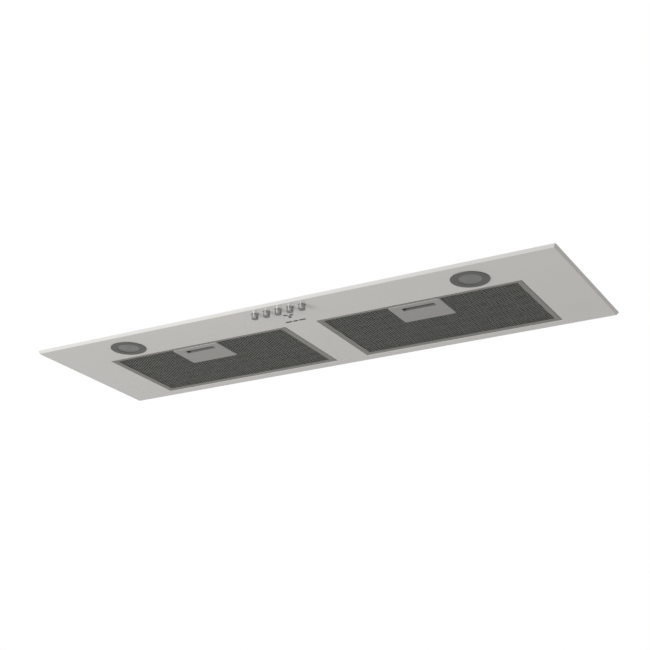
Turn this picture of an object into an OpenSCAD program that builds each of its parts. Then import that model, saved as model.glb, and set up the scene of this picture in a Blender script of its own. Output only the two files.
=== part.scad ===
// Built-in range hood: a bevelled face panel that closes the underside of a canopy or cabinet,
// two hinged grease filters with sprung latches, two round lamps, five push buttons, and a raked
// chassis with a double-ended fan motor, two centrifugal wheels and a rear duct collar.
// X runs along the width, Y from the front (-) to the rear (+), Z up.
// The origin is the centre of the plane on which the chassis flange bears against the cabinet.

/* [Face panel] */
// Overall width of the face panel
panel_w = 860; // [840:1:900]
// Overall depth of the face panel
panel_d = 275.6; // [270:0.1:290]
// Height of the bevelled rim
rim_h = 4.5; // [4:0.1:6]
// Inset of the flat face inside the bevelled rim
rim_in = 3.4; // [2:0.1:5]
// Distance by which the rim leans outwards at the left end
rim_left = 0.5; // [0.3:0.1:5]
// Thickness of the panel sheet
panel_t = 1; // [0.8:0.1:1.2]

/* [Filters] */
// Width of each filter opening
open_w = 323.5; // [318:0.5:324]
// Depth of each filter opening
open_d = 168.4; // [168:0.1:170]
// Half of the strip of panel between the two filter openings
open_gap = 26.7; // [26:0.1:30]
// Distance from the rear edge of the flat face to the filter openings
open_rear = 18.4; // [18:0.1:20]
// Gap round each filter in its opening
filter_gap = 0.8; // [0.6:0.1:1.2]
// Gap behind each filter, which lets its rear edge swing
filter_rear_gap = 1.9; // [1.8:0.1:2.2]
// Depth by which the filters sit behind the face
filter_recess = 0.1; // [0:0.05:0.5]
// Height of the filter frames
frame_h = 10; // [9.5:0.5:10.5]
// Width of the frame bars at the two sides
bar_side = 8.5; // [7:0.5:10]
// Width of the frame bar at the front
bar_front = 5.5; // [5:0.5:8]
// Width of the frame bar at the rear
bar_rear = 8; // [8:0.5:10]

/* [Latches] */
// Width of the latch plate
latch_w = 82.5; // [80:0.5:90]
// Depth of the latch plate, front to rear
latch_d = 61.5; // [60:0.5:66]
// Distance of the latch from the centre line of its filter, along the width
latch_dx = -6.5; // [-10:0.5:0]
// Width of the finger window
window_w = 51; // [46:1:54]
// Depth of the finger window, front to rear
window_d = 10.5; // [10:0.5:12]
// Distance from the front edge of the plate to the finger window
window_y = 10; // [9:0.5:12]
// Travel of the latch bolt
latch_travel = 6; // [5:0.5:6]

/* [Lamps] */
// Distance of each lamp from the centre line
lamp_x = 289; // [280:1:295]
// Distance of the lamps from the front edge of the flat face
lamp_y = 45; // [42:0.5:47]
// Outer diameter of the lamp bezel
bezel_d = 55.6; // [52:0.1:58]
// Diameter of the lamp glass
lens_d = 33; // [30:1:36]

/* [Buttons] */
// Number of push buttons
button_n = 5; // [5:1:5]
// Distance between neighbouring buttons
button_pitch = 19.75; // [19:0.25:21]
// Distance of the buttons from the front edge of the flat face
button_y = 16.3; // [16:0.1:17]
// Diameter of a button
button_d = 10; // [9:0.5:10]
// Length of button that stands out of the face
button_out = 7.5; // [6:0.5:9]

/* [Chassis] */
// Width of the chassis box
body_w = 800; // [796:1:804]
// Distance from the centre to the front wall of the chassis
body_front = 129; // [128:0.5:130]
// Distance from the centre to the rear wall of the chassis
body_rear = 130; // [129:0.5:131]
// Rise of the raked top for each millimetre of depth
rake = 0.47; // [0.46:0.005:0.475]
// Thickness of the chassis sheet
sheet = 0.9; // [0.8:0.1:1]
// Half of the width of the tall centre section
tall_x = 330; // [320:1:335]
// Height of the low side sections
low_h = 34; // [30:1:36]
// Distance between the cabinet screws along the width
screw_x = 828; // [824:1:832]
// Distance between the cabinet screws along the depth
screw_y = 230; // [228:1:232]
// Diameter of the cabinet screw holes
screw_d = 5; // [4.5:0.1:5.5]

/* [Fan] */
// Distance of the fan axis behind the centre
fan_y = 85; // [84:0.5:86]
// Height of the fan axis
fan_z = 54; // [53:0.5:55]
// Outer diameter of the fan wheels
wheel_d = 64; // [60:1:66]
// Length of a fan wheel
wheel_l = 70; // [64:1:71]
// Number of blades on a wheel
blade_n = 30; // [24:1:36]
// Outer radius of the scroll housings
scroll_r = 42; // [40:0.5:42.5]
// Inner end of each scroll housing, from the centre
scroll_x = 46; // [45:0.5:48]
// Length of a scroll housing
scroll_l = 80; // [76:1:80]
// Diameter of the motor can
motor_d = 68; // [64:1:70]
// Length of the motor can
motor_l = 60; // [56:1:62]
// Diameter of the motor shaft
shaft_d = 8; // [6:1:10]

/* [Duct collar] */
// Outer width of the duct collar
collar_w = 254; // [250:1:254]
// Outer height of the duct collar
collar_h = 83; // [82:1:83]
// Height of the lower edge of the duct collar
collar_z = 27; // [26:0.5:28]
// Length of the duct collar
collar_l = 38; // [30:1:45]

/* [Hidden] */
$fn = 64;
eps = 0.01;
steel = [0.72, 0.71, 0.69];
zinc = [0.6, 0.62, 0.64];
dark = [0.2, 0.2, 0.21];
alu = [0.62, 0.62, 0.6];

// Flat face: its height and its four edges
face_z = -rim_h;
face_back = face_z + panel_t;
face_d = panel_d - 2 * rim_in;
face_front_y = -face_d / 2;

// Filter openings
open_x = open_gap + open_w / 2;
open_y1 = face_d / 2 - open_rear;
open_y0 = open_y1 - open_d;
lip_top = 14;
lip_screw_z = 9.5;
part_y = open_y0 - panel_t - 0.1;

// Filters
filter_w = open_w - 2 * filter_gap;
filter_y0 = open_y0 + filter_gap;
filter_y1 = open_y1 - filter_rear_gap;
filter_z = face_z + filter_recess;
frame_t = 0.7;
mesh_z = filter_z + frame_t;
mesh_t = 0.6;
mesh_y0 = filter_y0 + bar_front;
mesh_y1 = filter_y1 - bar_rear;
mesh_w = filter_w - 2 * bar_side;
layer_n = 4;
layer_step = 1.4;
layer_t = 0.3;
pivot_y = filter_y1 - 4.5;
pivot_h = 4.5;
pivot_z = filter_z + pivot_h;
peg_r = 2;
peg_l = 7.5;
socket_clear = 0.05;

// Latches
plate_t = 1;
plate_z = face_z - 0.3;
slider_t = 1.2;
slider_z = plate_z + plate_t + 0.1;
slider_top = slider_z + slider_t;
latch_y0 = mesh_y0 + 1;
latch_back = slider_top + 0.8;
window_y0 = latch_y0 + window_y;
window_y1 = window_y0 + window_d;
lip_h = 5.4;
lip_y = window_y0 + 9.5;
lip_w = window_w - 5;
well_w = window_w;
well_t = 0.8;
well_top = filter_z + frame_h - 1;
bolt_w = 20;
bolt_t = 1.3;
bolt_gap = 0.8;
bolt_tip = filter_y0 - filter_gap - panel_t - 3.2;
slider_y1 = window_y1 + 9;
spring_y1 = latch_y0 + latch_d - 3;

// Lamps and buttons
lamp_cy = face_front_y + lamp_y;
lamp_hole_r = 25.5;
can_r = 24.5;
can_top = 12.5;
can_knee = 5;
can_end_r = 15;
button_cy = face_front_y + button_y;
guide_top = face_back + 1.8;
flange_t = 0.8;
flange_r = button_d / 2 + 0.5;
stem_r = 1.8;
switch_base = 2.8;
switch_top = 4.6;
switch_w = (button_n - 1) * button_pitch + 20;
switch_d = 13;

// Chassis: height of the raked top at a given y
function top_z(y) = rake * (y + panel_d / 2 - 0.8);
top_flat_y = 112;
cover_t = sheet;
tall_top = top_z(top_flat_y);
flange_w = panel_w - 10;
flange_d = panel_d - 10;
flange_z = -1.2;
weld_gap = 0.02;
cover_screw_x = tall_x + 40;
cover_screw_y = [-20, 60];

// Fan
wheel_x0 = scroll_x + 5;
motor_half = motor_l / 2;
shaft_end = wheel_x0 + wheel_l + 1;
pin_z = collar_z + collar_h - 6;
pin_y = body_rear + 9;
pin_r = 2;
collar_t = 1.5;
collar_rim = 8;
collar_screw_x = collar_w / 2 + 4.5;
collar_screw_z = 10;
scroll_t = 1;
end_t = 3;
boss_l = 8;
motor_gap = 0.1;
core_l = 36;
foot_x = 22;
foot_w = 10;
mount_h = [31, 23];

// Screws
screw_r = 1.65;
screw_hole_r = 1.7;
screw_l = 6;

// Terminal box, cable gland, capacitor, and the routes of the leads
box_x0 = -300;
box_x1 = -220;
box_y0 = 72;
box_z0 = 42;
box_h = 36;
box_t = 1;
gland_x = -250;
gland_z = 62;
gland_r = 8;
wire_r = 2.4;
branch_r = 1.6;
wire_x = -200;
wire_z = 24;
cap_x = 155;
cap_y = 108;
cap_z = 34;
cap_r = 15;
cap_l = 60;
main_lead = [
    [-219.9, 87, 62], [-212, 87, 62], [-206, 86, 62], [-202, 83, 62], [-200, 78, 62], [-200, 30, 62],
    [-200, 23, 59], [-200, 18, 52], [-200, 8, 32], [-200, 3, 26], [-200, -4, 24], [-200, -66, 24],
    [-198, -72, 23.5], [-192, -76, 23], [-44, -76, 22], [-38, -79, 20], [-34, -84, 17], [-31, -98, 6],
    [-30, -104, 1.6], [-30, -111.2, 1.4]
];
left_lamp_lead = [
    [-200, -62, 24], [-206, -70, 23], [-216, -75, 22], [-268, -78, 18], [-280, -82, 17], [-285, -87, 16],
    [-285, -88, 12.58]
];
right_lamp_lead = [
    [-50, -76, 22], [240, -76, 21], [264, -78, 19], [278, -82, 18], [285, -87, 16], [285, -88, 12.58]
];
motor_lead = [
    [-200, 34, 62], [-192, 33, 61], [-182, 33, 60], [-22, 33, 58], [-14, 36, 57], [-10, 42, 56],
    [-10, 50.6, 56]
];
capacitor_lead = [
    [10, 50.6, 56], [10, 42, 56], [14, 36, 56], [22, 33, 56], [124, 33, 51], [134, 36, 49], [140, 44, 47],
    [142, 92, 38], [142, 99, 35.5], [143.5, 102.5, 34.5], [146.7, 103, 34]
];

// ---- Shared shapes ----------------------------------------------------------------------

// Solid ring round the X axis of the fan, from x0 to x1
module x_ring(r_out, r_in, x0, x1) {
    translate([x0, fan_y, fan_z]) rotate([0, 90, 0]) difference() {
        cylinder(r = r_out, h = x1 - x0);
        if (r_in > 0) translate([0, 0, -1]) cylinder(r = r_in, h = x1 - x0 + 2);
    }
}

// Block between two corners
module block(a, b) {
    translate(a) cube(b - a);
}

// Helical spring along Z from z = 0 to z = height, with round wire of 8 sides
module coil(coil_r, wire_r, height, turns, steps_per_turn = 12) {
    n = turns * steps_per_turn;
    sides = 8;
    pts = [for (i = [0:n]) for (j = [0:sides - 1])
        let (a = i * 360 / steps_per_turn, b = j * 360 / sides, r = coil_r + wire_r * cos(b))
        [r * cos(a), r * sin(a), wire_r + (height - 2 * wire_r) * i / n + wire_r * sin(b)]];
    walls = [for (i = [0:n - 1]) for (j = [0:sides - 1])
        [i * sides + j, (i + 1) * sides + j,
         (i + 1) * sides + (j + 1) % sides, i * sides + (j + 1) % sides]];
    first = [for (j = [0:sides - 1]) j];
    last = [for (j = [sides - 1:-1:0]) n * sides + j];
    polyhedron(points = pts, faces = concat([first], walls, [last]), convexity = 10);
}

// ---- Face panel -------------------------------------------------------------------------

// Solid between heights z0 and z1 inside the leaning rim, set in by inset
module tray_solid(inset, z0, z1) {
    share0 = 1 - (z0 - face_z) / rim_h;
    share1 = 1 - (z1 - face_z) / rim_h;
    w0 = rim_in * share0 + inset;
    w1 = rim_in * share1 + inset;
    l0 = -panel_w / 2 + rim_left * share0 + inset;
    l1 = -panel_w / 2 + rim_left * share1 + inset;
    x0 = panel_w / 2 - w0;
    x1 = panel_w / 2 - w1;
    y0 = panel_d / 2 - w0;
    y1 = panel_d / 2 - w1;
    polyhedron(
        points = [[l0, -y0, z0], [x0, -y0, z0], [x0, y0, z0], [l0, y0, z0],
                  [l1, -y1, z1], [x1, -y1, z1], [x1, y1, z1], [l1, y1, z1]],
        faces = [[0, 1, 2, 3], [4, 7, 6, 5], [0, 4, 5, 1], [1, 5, 6, 2], [2, 6, 7, 3], [3, 7, 4, 0]]
    );
}

// Tray with the leaning rim, and a folded lip round each filter opening
module face_panel() {
    color(steel) difference() {
        union() {
            difference() {
                tray_solid(0, face_z, 0);
                tray_solid(panel_t * 1.2, face_back, 1);
            }
            for (s = [-1, 1]) translate([s * open_x, 0, 0])
                block([-open_w / 2 - panel_t, open_y0 - panel_t, face_back - eps],
                      [open_w / 2 + panel_t, open_y1 + panel_t, lip_top]);
        }
        for (s = [-1, 1]) {
            translate([s * open_x, 0, 0]) {
                block([-open_w / 2, open_y0, face_z - 1], [open_w / 2, open_y1, lip_top + 1]);
                block([latch_dx - bolt_w / 2 - 1, open_y0 - 3, slider_top - 0.4],
                      [latch_dx + bolt_w / 2 + 1, open_y0 + 1, slider_top + bolt_t + 0.4]);
                for (t = [-1, 1]) translate([t * open_w / 4, open_y0 - 3, lip_screw_z])
                    rotate([-90, 0, 0]) cylinder(r = 2.2, h = 5);
                translate([-open_w / 2 - 3, pivot_y, pivot_z]) rotate([0, 90, 0])
                    cylinder(r = peg_r + 0.6, h = open_w + 6);
            }
            translate([s * lamp_x, lamp_cy, face_z - 1]) cylinder(r = lamp_hole_r, h = 3);
        }
        for (i = [0:button_n - 1]) translate([button_x(i), button_cy, face_z - 1])
            cylinder(r = button_d / 2 + 0.3, h = 3);
    }
}

function button_x(i) = (i - (button_n - 1) / 2) * button_pitch;

// ---- Chassis ----------------------------------------------------------------------------

// Side outline of the body: vertical front and rear walls, the raked top and a flat roof.
// inset narrows it front and rear, drop lowers the top
module rake_outline(inset, drop, floor_z, roof) {
    y0 = -body_front + inset;
    y1 = body_rear - inset;
    yt = roof / rake - panel_d / 2 + 0.8;
    polygon([[y0, floor_z], [y1, floor_z], [y1, roof - drop], [yt, roof - drop], [y0, top_z(y0) - drop]]);
}

// Length of the body outline between x0 and x1
module rake_slab(x0, x1, inset, drop, floor_z, roof) {
    translate([x0, 0, 0]) rotate([90, 0, 90])
        linear_extrude(x1 - x0) rake_outline(inset, drop, floor_z, roof);
}

// The tall centre section with the two low side sections
module body_envelope(inset, drop, floor_z) {
    tx = tall_x - inset;
    bx = body_w / 2 - inset;
    rake_slab(-tx, tx, inset, drop, floor_z, tall_top);
    rake_slab(-bx, bx, inset, drop, floor_z, low_h);
}

// Side wall between x0 and x1, from the height floor_z up to the top cover
module side_wall(x0, x1, floor_z, roof) {
    intersection() {
        rake_slab(x0, x1, sheet + weld_gap, cover_t, flange_z, roof);
        block([x0 - 1, -body_front, floor_z], [x1 + 1, body_rear, roof]);
    }
}

// Rear wall with the openings for the duct collar and the cable gland
module rear_wall() {
    difference() {
        block([-tall_x, body_rear - sheet, flange_z], [tall_x, body_rear, tall_top - cover_t]);
        block([-collar_w / 2 + 2, body_rear - 5, collar_z + 2],
              [collar_w / 2 - 2, body_rear + 5, collar_z + collar_h - 2]);
        translate([gland_x, body_rear - 5, gland_z]) rotate([-90, 0, 0]) cylinder(r = gland_r, h = 10);
    }
}

// Folded sheets, spot welded at their edges
module chassis() {
    bx = body_w / 2;
    fy = flange_d / 2;
    color(zinc) {
        rear_wall();
        block([-bx, -body_front, flange_z], [bx, -body_front + sheet, top_z(-body_front) - cover_t]);
        block([-flange_w / 2, -fy, flange_z], [flange_w / 2, -body_front - weld_gap, 0]);
        block([-flange_w / 2, body_rear + weld_gap, flange_z], [flange_w / 2, fy, 0]);
        for (s = [-1, 1]) {
            side_wall(s * (bx - sheet / 2) - sheet / 2, s * (bx - sheet / 2) + sheet / 2, flange_z, low_h);
            side_wall(s * (tall_x - sheet / 2) - sheet / 2, s * (tall_x - sheet / 2) + sheet / 2,
                low_h - cover_t, tall_top);
            mirror([s < 0 ? 1 : 0, 0, 0]) {
                block([tall_x + weld_gap, body_rear - sheet, flange_z], [bx, body_rear, low_h - cover_t]);
                difference() {
                    block([bx + weld_gap, -body_front, flange_z], [flange_w / 2, body_rear, 0]);
                    for (sy = [-1, 1]) translate([screw_x / 2, sy * screw_y / 2, flange_z - 1])
                        cylinder(d = screw_d, h = 5);
                }
            }
        }
    }
}

// Bent skin that closes the top of the chassis
module top_cover() {
    bx = body_w / 2;
    tx = tall_x + eps;
    color(zinc) difference() {
        body_envelope(0, 0, flange_z + 1);
        rake_slab(-tx, tx, -5, cover_t, flange_z - 5, tall_top);
        rake_slab(-bx - 5, bx + 5, -5, cover_t, flange_z - 5, low_h);
        for (s = [-1, 1]) for (y = cover_screw_y) translate([s * cover_screw_x, y, low_h - 5])
            cylinder(r = screw_hole_r, h = 10);
    }
}

// Wall between the controls and the air space
module front_partition() {
    color(zinc) difference() {
        intersection() {
            block([-body_w, part_y - sheet, -0.6], [body_w, part_y, 100]);
            body_envelope(sheet + 0.05, cover_t + 0.1, -10);
        }
        for (s = [-1, 1]) for (t = [-1, 1])
            translate([s * open_x + t * open_w / 4, part_y - 3, lip_screw_z])
            rotate([-90, 0, 0]) cylinder(r = screw_hole_r, h = 6);
        translate([wire_x, part_y - 3, wire_z]) rotate([-90, 0, 0]) cylinder(r = 4, h = 6);
    }
}

// ---- Fan --------------------------------------------------------------------------------

// Side outline of a scroll: a round drum and the outlet that leaves it to the rear
module scroll_outline(inset) {
    translate([fan_y, fan_z]) circle(r = scroll_r - inset, $fn = 96);
    translate([fan_y, fan_z + inset]) square([body_rear - sheet - 0.1 - fan_y, scroll_r - 2 * inset]);
}

// Housing of one fan wheel, open at the inlets in its sides and at the outlet
module scroll(s) {
    x0 = s > 0 ? scroll_x : -scroll_x - scroll_l;
    t = scroll_t;
    color(zinc) difference() {
        translate([x0, 0, 0]) rotate([90, 0, 90]) linear_extrude(scroll_l) scroll_outline(0);
        translate([x0 + t, 0, 0]) rotate([90, 0, 90]) linear_extrude(scroll_l - 2 * t) scroll_outline(t);
        block([x0 + t, body_rear - 3, fan_z + t], [x0 + scroll_l - t, body_rear + 3, fan_z + scroll_r - t]);
        x_ring(wheel_d / 2 - 4, 0, x0 - 1, x0 + scroll_l + 1);
    }
}

// Wheel with forward-curved blades between a hub disc and an end ring
module impeller(s) {
    r1 = wheel_d / 2;
    r0 = r1 - 7;
    hub_x = s > 0 ? wheel_x0 : -wheel_x0 - 2;
    rim_x = s > 0 ? wheel_x0 + wheel_l - 2 : -wheel_x0 - wheel_l;
    from = s > 0 ? wheel_x0 : -wheel_x0 - wheel_l;
    color(dark) {
        x_ring(r1, shaft_d / 2 + 0.02, hub_x, hub_x + 2);
        x_ring(11, shaft_d / 2 + 0.02, s > 0 ? hub_x : hub_x - 10, s > 0 ? hub_x + 12 : hub_x + 2);
        x_ring(r1, r0, rim_x, rim_x + 2);
        translate([from, fan_y, fan_z]) rotate([90, 0, 90]) linear_extrude(wheel_l)
            for (i = [0:blade_n - 1]) rotate(i * 360 / blade_n) translate([r0 + 0.5, 0])
                rotate(28) translate([0, -0.4]) square([6.4, 0.8]);
    }
}

// Drum of the motor
module motor_can() {
    color(steel) x_ring(motor_d / 2, motor_d / 2 - 1.5, -motor_half, motor_half);
}

// End bell with its bearing boss and six vent holes
module motor_end(s) {
    x0 = s > 0 ? motor_half : -motor_half - boss_l;
    face = s > 0 ? motor_half : -motor_half - end_t;
    color(zinc) difference() {
        union() {
            x_ring(motor_d / 2, 0, face, face + end_t);
            x_ring(13, 0, x0, x0 + boss_l);
        }
        x_ring(11, 0, s > 0 ? x0 - 1 : x0 + 1, s > 0 ? x0 + boss_l - 1 : x0 + boss_l + 1);
        x_ring(6, 0, x0 - 1, x0 + boss_l + 1);
        for (a = [0:60:300]) translate([face - 1, fan_y + 22 * cos(a), fan_z + 22 * sin(a)])
            rotate([0, 90, 0]) cylinder(r = 3.5, h = 5);
    }
}

// Slotted iron pack with a winding ring at each end
module stator() {
    half = core_l / 2;
    color([0.45, 0.42, 0.4]) difference() {
        x_ring(motor_d / 2 - 1.6, 20, -half, half);
        for (a = [0:30:330]) translate([-20, fan_y, fan_z]) rotate([a, 0, 0])
            block([0, 19, -2], [40, 25, 2]);
    }
    color([0.72, 0.36, 0.16]) for (s = [-1, 1])
        x_ring(29, 22, s > 0 ? half + 0.2 : -half - 7.2, s > 0 ? half + 7.2 : -half - 0.2);
}

// Iron rotor on the shaft
module rotor_core() {
    color([0.5, 0.5, 0.52]) x_ring(19.5, shaft_d / 2, -core_l / 2, core_l / 2);
}

// Shaft that carries the rotor and both wheels
module motor_shaft() {
    color([0.8, 0.8, 0.8]) x_ring(shaft_d / 2, 0, -shaft_end, shaft_end);
}

// Two ball bearings in the end bells
module bearings() {
    color([0.8, 0.8, 0.8]) for (s = [-1, 1])
        x_ring(10.95, shaft_d / 2 + 0.05, s > 0 ? motor_half + 0.1 : -motor_half - 6.9,
            s > 0 ? motor_half + 6.9 : -motor_half - 0.1);
}

// Cradle that carries the motor on four rubber mounts from the rear wall
module motor_bracket() {
    color(zinc) for (s = [-1, 1]) {
        x0 = s * foot_x - foot_w / 2;
        x1 = x0 + foot_w;
        foot_y = body_rear - sheet - 5;
        difference() {
            union() {
                x_ring(motor_d / 2 + 2.2, 0, x0, x1);
                block([x0, fan_y + 30, fan_z - 20], [x1, foot_y, fan_z - 17]);
                block([x0, foot_y - 2, fan_z - 34], [x1, foot_y, fan_z - 17]);
            }
            x_ring(motor_d / 2 + motor_gap, 0, x0 - 1, x1 + 1);
        }
    }
}

// Rubber buffers between the cradle and the rear wall
module rubber_mounts() {
    color(dark) for (s = [-1, 1]) for (h = mount_h)
        translate([s * foot_x, body_rear - sheet - 4.95, fan_z - h]) rotate([-90, 0, 0])
            cylinder(r = 3.5, h = 4.9);
}

// ---- Duct collar and damper -------------------------------------------------------------

// Rectangular spigot with a flange that is screwed to the rear wall
module duct_collar() {
    hx = collar_w / 2;
    z1 = collar_z + collar_h;
    color(dark) difference() {
        union() {
            block([-hx, body_rear + 0.05, collar_z], [hx, body_rear + collar_l, z1]);
            block([-hx - collar_rim, body_rear + 0.05, collar_z - collar_rim],
                  [hx + collar_rim, body_rear + collar_t, z1 + collar_rim]);
        }
        block([-hx + collar_t, body_rear - 1, collar_z + collar_t],
              [hx - collar_t, body_rear + collar_l + 1, z1 - collar_t]);
        translate([-collar_w, pin_y, pin_z]) rotate([0, 90, 0])
            cylinder(r = pin_r + 0.05, h = 2 * collar_w);
        for (s = [-1, 1]) for (h = [collar_screw_z, collar_h - collar_screw_z])
            translate([s * collar_screw_x, body_rear - 1, collar_z + h])
                rotate([-90, 0, 0]) cylinder(r = screw_hole_r, h = 4);
    }
}

// Light flap that hangs from its pin and closes the collar
module damper_flap() {
    w = collar_w - 2 * collar_t - 2;
    color([0.45, 0.45, 0.46]) difference() {
        union() {
            block([-w / 2, pin_y - 0.6, collar_z + 3], [w / 2, pin_y + 0.6, pin_z]);
            translate([-w / 2, pin_y, pin_z]) rotate([0, 90, 0]) cylinder(r = 3.4, h = w);
        }
        translate([-collar_w, pin_y, pin_z]) rotate([0, 90, 0]) cylinder(r = pin_r, h = 2 * collar_w);
    }
}

// Pin across the collar
module damper_pin() {
    color(steel) translate([-collar_w / 2 - 3, pin_y, pin_z]) rotate([0, 90, 0])
        cylinder(r = pin_r, h = collar_w + 6);
}

// ---- Electrics --------------------------------------------------------------------------

// Box in which the supply cord is joined to the leads
module terminal_box() {
    y1 = body_rear - sheet;
    t = box_t;
    color(zinc) difference() {
        block([box_x0, box_y0, box_z0], [box_x1, y1, box_z0 + box_h]);
        block([box_x0 + t, box_y0 + t, box_z0 + t], [box_x1 - t, y1 - t, box_z0 + box_h + t]);
        translate([gland_x, body_rear - 8, gland_z]) rotate([-90, 0, 0]) cylinder(r = gland_r, h = 10);
        translate([box_x1 - 3, box_y0 + 15, gland_z]) rotate([0, 90, 0]) cylinder(r = wire_r + 0.6, h = 6);
    }
}

// Lid of the terminal box
module terminal_cover() {
    z0 = box_z0 + box_h + 0.05;
    color(zinc) block([box_x0 - 1, box_y0 - 1, z0], [box_x1 + 1, body_rear - sheet - 0.1, z0 + 1.15]);
}

// Gland through the rear wall, with a bore for the supply cord
module cable_gland() {
    color(dark) translate([gland_x, body_rear, gland_z]) rotate([-90, 0, 0]) difference() {
        union() {
            translate([0, 0, -7]) cylinder(r = gland_r - 0.05, h = 12);
            translate([0, 0, 0.05]) cylinder(r = 11, h = 4);
            translate([0, 0, 4]) cylinder(r = 9, h = 10);
            translate([0, 0, -5.9]) cylinder(r = 10.5, h = 3.9);
        }
        translate([0, 0, -10]) cylinder(r = 4, h = 30);
    }
}

// Run capacitor of the motor, lying along X by the rear wall
module capacitor() {
    color([0.85, 0.85, 0.83]) translate([cap_x, cap_y, cap_z]) rotate([0, 90, 0]) {
        cylinder(r = cap_r, h = cap_l);
        for (s = [-1, 1]) translate([-0.4, s * 5 - 3, -7.99]) cube([0.8, 6, 8]);
    }
}

// Strap that holds the capacitor to the rear wall
module capacitor_clip() {
    x0 = cap_x + cap_l / 2 - 7;
    wall = body_rear - sheet - 0.02;
    color(zinc) difference() {
        union() {
            translate([x0, cap_y, cap_z]) rotate([0, 90, 0]) cylinder(r = cap_r + 1.2, h = 14);
            block([x0, wall - 1.2, cap_z - 12], [x0 + 14, wall, cap_z + 30]);
            block([x0, cap_y, cap_z - 3], [x0 + 14, wall, cap_z + 3]);
        }
        translate([x0 - 1, cap_y, cap_z]) rotate([0, 90, 0]) cylinder(r = cap_r + 0.05, h = 16);
    }
}

// Unit vector along v
function unit(v) = v / norm(v);

// Direction of a route at its point i
function heading(pts, i) = unit(unit(pts[min(i + 1, len(pts) - 1)] - pts[min(i, len(pts) - 2)])
    + unit(pts[max(i, 1)] - pts[max(i - 1, 0)]));

// Ring of points round a route at its point i
function lead_ring(pts, i, r, sides) =
    let (t = heading(pts, i), u = unit(cross(t, [1, 1.2, 0.9])), v = cross(t, u))
    [for (j = [0:sides - 1]) pts[i] + r * (u * cos(j * 360 / sides) + v * sin(j * 360 / sides))];

// Round lead swept along a list of points
module lead(pts, r, sides = 10) {
    n = len(pts);
    rings = [for (i = [0:n - 1]) each lead_ring(pts, i, r, sides)];
    walls = [for (i = [0:n - 2]) for (j = [0:sides - 1])
        [i * sides + j, (i + 1) * sides + j,
         (i + 1) * sides + (j + 1) % sides, i * sides + (j + 1) % sides]];
    first = [for (j = [0:sides - 1]) j];
    last = [for (j = [sides - 1:-1:0]) (n - 1) * sides + j];
    polyhedron(points = rings, faces = concat([first], walls, [last]), convexity = 10);
}

// Internal wiring: terminal box to switches, with branches to the lamps, the motor and the capacitor
module wiring_harness() {
    color(dark) {
        lead(main_lead, wire_r);
        lead(left_lamp_lead, branch_r);
        lead(right_lamp_lead, branch_r);
        lead(motor_lead, branch_r);
        lead(capacitor_lead, branch_r);
    }
}

// Short screws: cover to chassis, panel lips to partition, and collar to rear wall
module body_screws() {
    color([0.75, 0.75, 0.75]) {
        for (s = [-1, 1]) for (t = [-1, 1])
            translate([s * open_x + t * open_w / 4, open_y0, lip_screw_z])
                rotate([90, 0, 0]) pan_screw(screw_r, screw_l);
        for (s = [-1, 1]) for (h = [collar_screw_z, collar_h - collar_screw_z])
            translate([s * collar_screw_x, body_rear + collar_t, collar_z + h])
                rotate([90, 0, 0]) pan_screw(screw_r, 1.4);
        for (s = [-1, 1]) for (y = cover_screw_y)
            translate([s * cover_screw_x, y, low_h]) rotate([180, 0, 0]) pan_screw(screw_r, screw_l);
    }
}

// Screw along +Z with its head below z = 0
module pan_screw(r, l) {
    translate([0, 0, -2]) cylinder(r = 3.2, h = 2);
    cylinder(r = r, h = l);
}

// ---- Controls ---------------------------------------------------------------------------

// Strip behind the panel that guides the button caps
module button_guide() {
    color(dark) difference() {
        block([-switch_w / 2, button_cy - switch_d / 2, face_back],
              [switch_w / 2, button_cy + switch_d / 2, guide_top]);
        for (i = [0:button_n - 1]) translate([button_x(i), button_cy, face_back - 1])
            cylinder(r = button_d / 2 + 0.06, h = 5);
    }
}

// Block with the five switches
module switch_housing() {
    y0 = button_cy - switch_d / 2;
    y1 = button_cy + switch_d / 2;
    color([0.85, 0.84, 0.8]) difference() {
        block([-switch_w / 2, y0, guide_top], [switch_w / 2, y1, switch_top]);
        for (i = [0:button_n - 1]) {
            block([button_x(i) - 8, y0 + 0.8, guide_top - 1], [button_x(i) + 8, y1 - 0.8, switch_base]);
            translate([button_x(i), button_cy, switch_base - 1]) cylinder(r = stem_r + 0.1, h = 2.5);
        }
    }
}

// Chromed cap with a domed end, a collar that holds it in, and a stem
module button(i) {
    r = button_d / 2;
    round_r = 1.6;
    color([0.85, 0.85, 0.86]) translate([button_x(i - 1), button_cy, 0]) rotate_extrude() polygon(concat(
        [[0, face_z - button_out - 0.4], [r - round_r - 1.4, face_z - button_out - 0.3]],
        [for (a = [-90:15:0])
            [r - round_r + round_r * cos(a), face_z - button_out + round_r + round_r * sin(a)]],
        [[r, guide_top + 0.1], [flange_r, guide_top + 0.1], [flange_r, guide_top + 0.1 + flange_t]],
        [[stem_r, guide_top + 0.1 + flange_t], [stem_r, guide_top + 3.2], [0, guide_top + 3.2]]
    ));
}

// Return spring of a button
module button_spring(i) {
    base = guide_top + 0.1 + flange_t;
    color([0.7, 0.7, 0.7]) translate([button_x(i - 1), button_cy, base + 0.02])
        coil(2.6, 0.17, switch_base - base - 0.04, 3);
}

// ---- Lamps ------------------------------------------------------------------------------

// Turned ring that stands a little proud of the face
module lamp_bezel(s) {
    r = bezel_d / 2;
    color([0.5, 0.5, 0.5]) translate([s * lamp_x, lamp_cy, 0]) rotate_extrude($fn = 96) polygon([
        [lens_d / 2 + 0.3, face_z - 0.4], [lens_d / 2 + 2, face_z - 1],
        [r - 1.2, face_z - 1], [r, face_z - 0.2],
        [r, face_z - 0.02], [lamp_hole_r - 0.3, face_z - 0.02], [lamp_hole_r - 0.3, face_back + 1],
        [lens_d / 2 + 0.3, face_back + 1]
    ]);
}

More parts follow.
